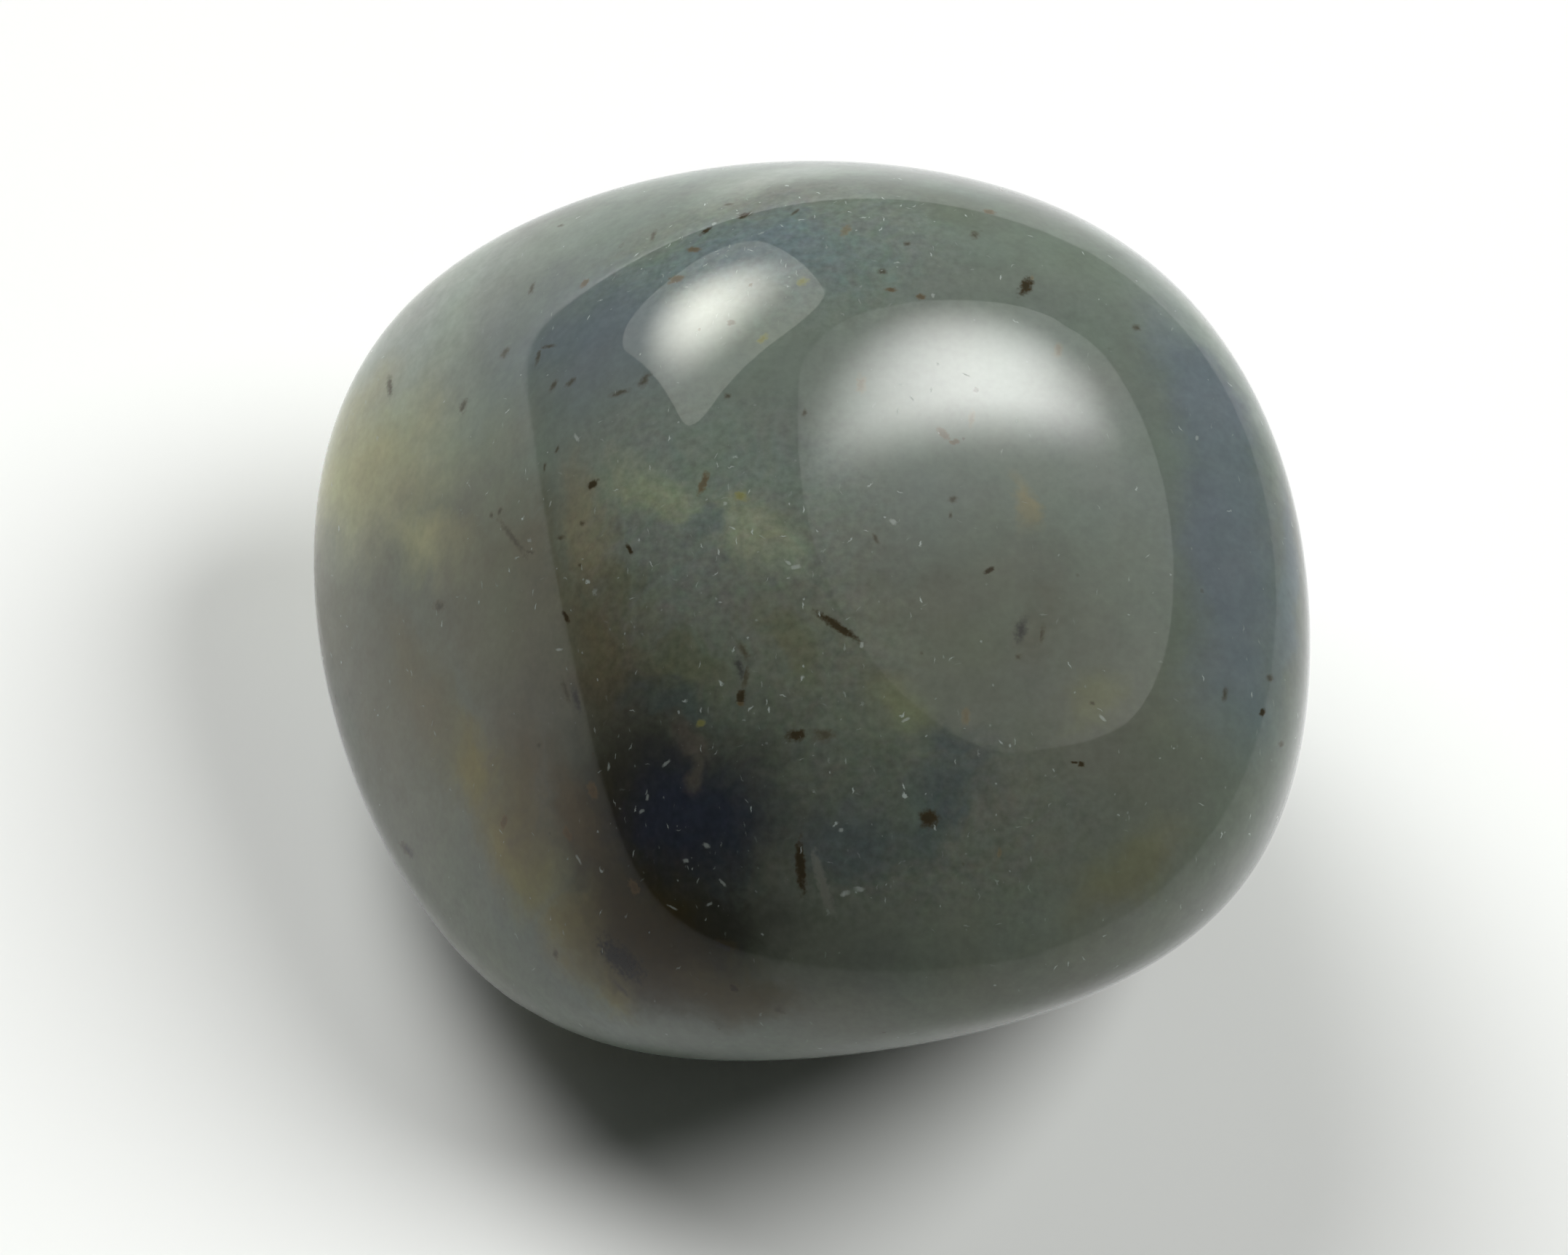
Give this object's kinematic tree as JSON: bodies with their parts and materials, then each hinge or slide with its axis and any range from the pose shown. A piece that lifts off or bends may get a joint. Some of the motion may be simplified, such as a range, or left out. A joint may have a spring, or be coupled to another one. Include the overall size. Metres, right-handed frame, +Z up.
{
  "type": "polished chalcedony stone",
  "caption": "Tumble-polished translucent grey-green chalcedony pebble, a rounded wedge with a flat on its belly, to display, set or use as a small weight.",
  "frame": {"origin": "under the middle of the stone, on the surface that it lies on", "axes": "+Z up from the foot; -Y is the front, where the long slope of the crown comes down; +X is the blunt thick end and -X the thin end"},
  "size_m": [0.0272, 0.0266, 0.0176],
  "materials": {
    "polished_chalcedony": "high polish; cloudy, slightly translucent grey-green with blue-grey, beige and brown zones, a navy dark window, brown needle flecks and fine pale scratches"
  },
  "bodies": {
    "root": {"chalcedony_stone": "polished_chalcedony"}
  },
  "joints": []
}
